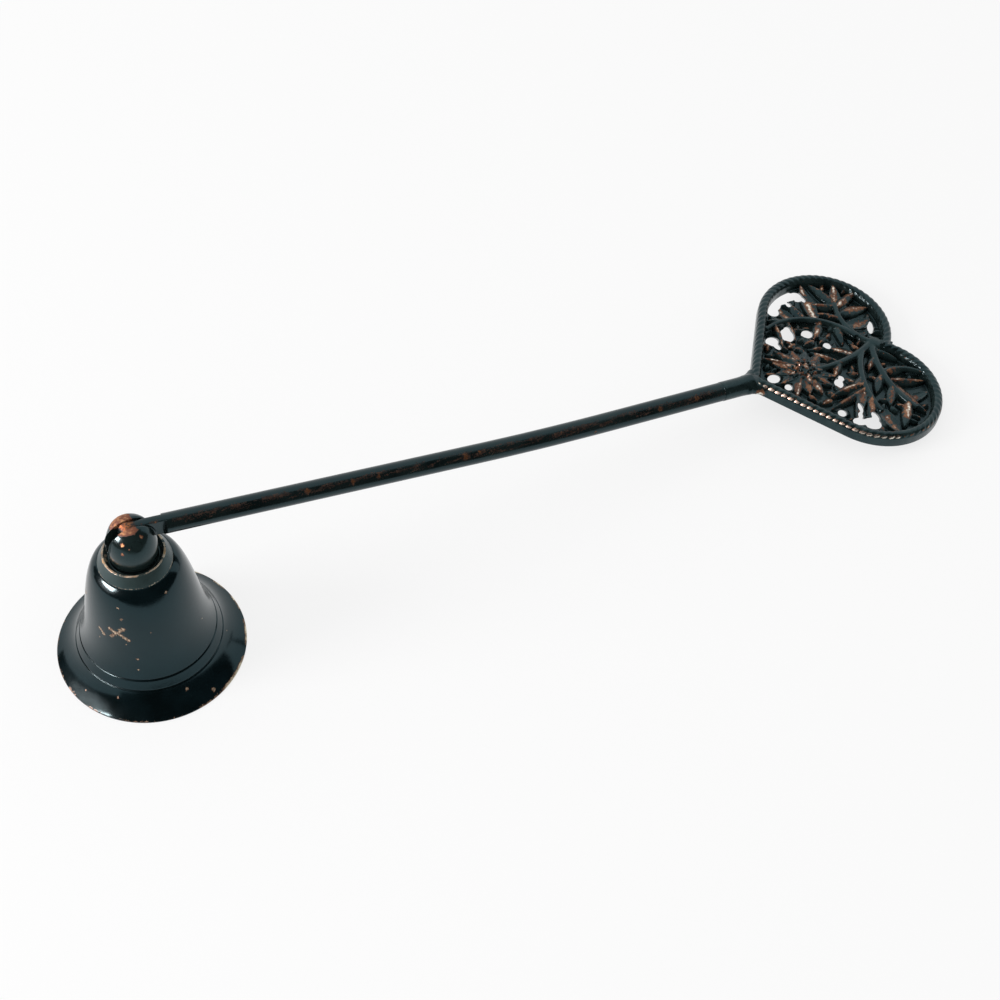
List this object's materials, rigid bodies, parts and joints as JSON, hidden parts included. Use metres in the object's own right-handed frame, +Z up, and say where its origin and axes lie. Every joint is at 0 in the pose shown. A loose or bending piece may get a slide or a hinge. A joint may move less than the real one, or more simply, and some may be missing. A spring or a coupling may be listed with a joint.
{
  "type": "candle snuffer",
  "caption": "Candle snuffer: a flared bell cup hinged on a slotted ball to a long slim rod that ends in a flat openwork heart grip with a rope edge, leaves and a flower.",
  "frame": {"origin": "centre of the bell's mouth, on the surface that the bell and the heart rest on", "axes": "+Z up along the bell's axis, +X from the bell towards the heart, +Y across"},
  "size_m": [0.2481, 0.0642, 0.0503],
  "materials": {
    "bell_lacquer": "black-teal lacquer over brass, semi-gloss, worn to copper on the edges",
    "rod_lacquer": "black-teal lacquer rubbed to copper-brown along the rod",
    "heart_antique": "cast brass, dark lacquer in the hollows, copper-brown on the raised leaves",
    "plain_brass": "plain turned brass, slightly tarnished"
  },
  "bodies": {
    "handle": {"handle_rod": "rod_lacquer", "heart_grip": "heart_antique"},
    "bell": {"bell_cup": "bell_lacquer", "crown_collar": "bell_lacquer", "hinge_ball": "bell_lacquer", "hinge_pin": "bell_lacquer", "stud_washer": "plain_brass", "stud_nut": "plain_brass"}
  },
  "joints": [
    {"name": "bell_swing", "type": "hinge", "parent": "handle", "child": "bell", "pos_m": [0, 0, 0.04745], "axis": [0, 1, 0], "range_deg": [-16, 222]}
  ]
}
